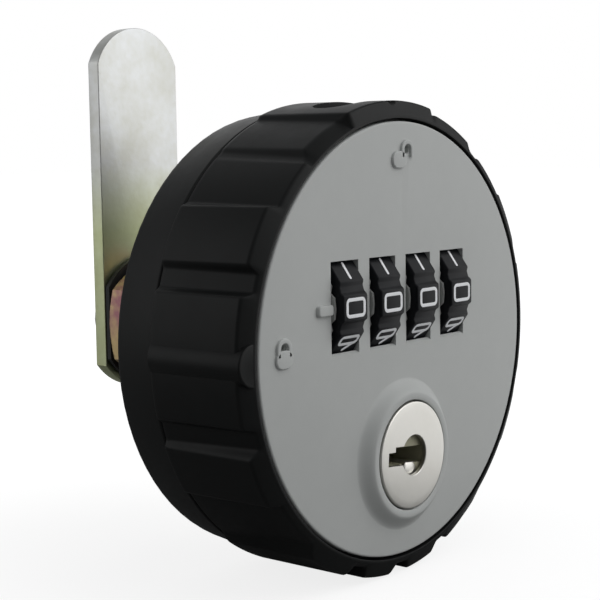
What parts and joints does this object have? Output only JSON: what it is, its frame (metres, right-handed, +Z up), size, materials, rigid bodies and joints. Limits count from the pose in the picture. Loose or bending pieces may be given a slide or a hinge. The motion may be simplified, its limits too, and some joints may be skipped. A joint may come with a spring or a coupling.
{
  "type": "combination locker lock",
  "caption": "Round combination locker lock with a turning grip ring, number wheels, a master-key cylinder and a rear cam on a threaded neck.",
  "frame": {"origin": "on the lock's axis at the back face of the base, where the lock stands against the door", "axes": "+Y along the axis to the back, through the door; the face looks along -Y; +Z up, the way the cam points when locked; +X to the right of someone facing the lock"},
  "size_m": [0.0571, 0.0513, 0.0676],
  "materials": {
    "black_plastic": "satin",
    "grey_plastic": "satin",
    "wheel_plastic": "satin",
    "sleeve_plastic": "satin",
    "zinc_plated_steel": "zinc plated",
    "yellow_zinc_steel": "yellow passivated",
    "black_steel": "blackened",
    "nickel": "nickel plated",
    "cast_zinc": "as cast",
    "spring_steel": "bright"
  },
  "bodies": {
    "case": {"back_base": "black_plastic", "threaded_neck": "zinc_plated_steel", "fixing_nut": "yellow_zinc_steel", "face_plate": "grey_plastic", "wheel_carrier": "black_plastic", "dial_axle": "spring_steel", "detent_spring": "spring_steel", "key_barrel": "cast_zinc", "base_screw_1": "zinc_plated_steel", "base_screw_2": "zinc_plated_steel", "base_screw_3": "zinc_plated_steel", "carrier_screw_1": "zinc_plated_steel", "carrier_screw_2": "zinc_plated_steel", "barrel_screw_1": "zinc_plated_steel", "barrel_screw_2": "zinc_plated_steel"},
    "ring_and_cam": {"grip_ring": "black_plastic", "spindle": "zinc_plated_steel", "stop_washer": "black_steel", "cam": "zinc_plated_steel", "cam_lock_washer": "spring_steel", "cam_screw": "zinc_plated_steel"},
    "comb": {"locking_comb": "cast_zinc"},
    "wheel_1": {"dial_wheel_1": "wheel_plastic", "code_sleeve_1": "sleeve_plastic"},
    "wheel_2": {"dial_wheel_2": "wheel_plastic", "code_sleeve_2": "sleeve_plastic"},
    "wheel_3": {"dial_wheel_3": "wheel_plastic", "code_sleeve_3": "sleeve_plastic"},
    "wheel_4": {"dial_wheel_4": "wheel_plastic", "code_sleeve_4": "sleeve_plastic"},
    "key_core": {"key_face": "nickel", "key_plug": "cast_zinc", "key_pin": "nickel", "key_tail_cam": "zinc_plated_steel"}
  },
  "joints": [
    {"name": "ring_turn", "type": "hinge", "parent": "case", "child": "ring_and_cam", "pos_m": [0, 0, 0], "axis": [0, 1, 0], "range_deg": [0, 90]},
    {"name": "comb_slide", "type": "slide", "parent": "case", "child": "comb", "axis": [1, 0, 0], "range_m": [0, 0.00125]},
    {"name": "wheel_1_spin", "type": "hinge", "parent": "case", "child": "wheel_1", "pos_m": [-0.01073, -0.0151, 0.0049], "axis": [1, 0, 0], "continuous": true},
    {"name": "wheel_2_spin", "type": "hinge", "parent": "case", "child": "wheel_2", "pos_m": [-0.00364, -0.0151, 0.0049], "axis": [1, 0, 0], "continuous": true},
    {"name": "wheel_3_spin", "type": "hinge", "parent": "case", "child": "wheel_3", "pos_m": [0.00347, -0.0151, 0.0049], "axis": [1, 0, 0], "continuous": true},
    {"name": "wheel_4_spin", "type": "hinge", "parent": "case", "child": "wheel_4", "pos_m": [0.01056, -0.0151, 0.0049], "axis": [1, 0, 0], "continuous": true},
    {"name": "key_turn", "type": "hinge", "parent": "case", "child": "key_core", "pos_m": [0, 0, -0.0137], "axis": [0, 1, 0], "range_deg": [0, 90]}
  ],
  "couplings": [
    {"joint": "comb_slide", "follows": "ring_turn", "m_per_rad": 0.00079577}
  ]
}
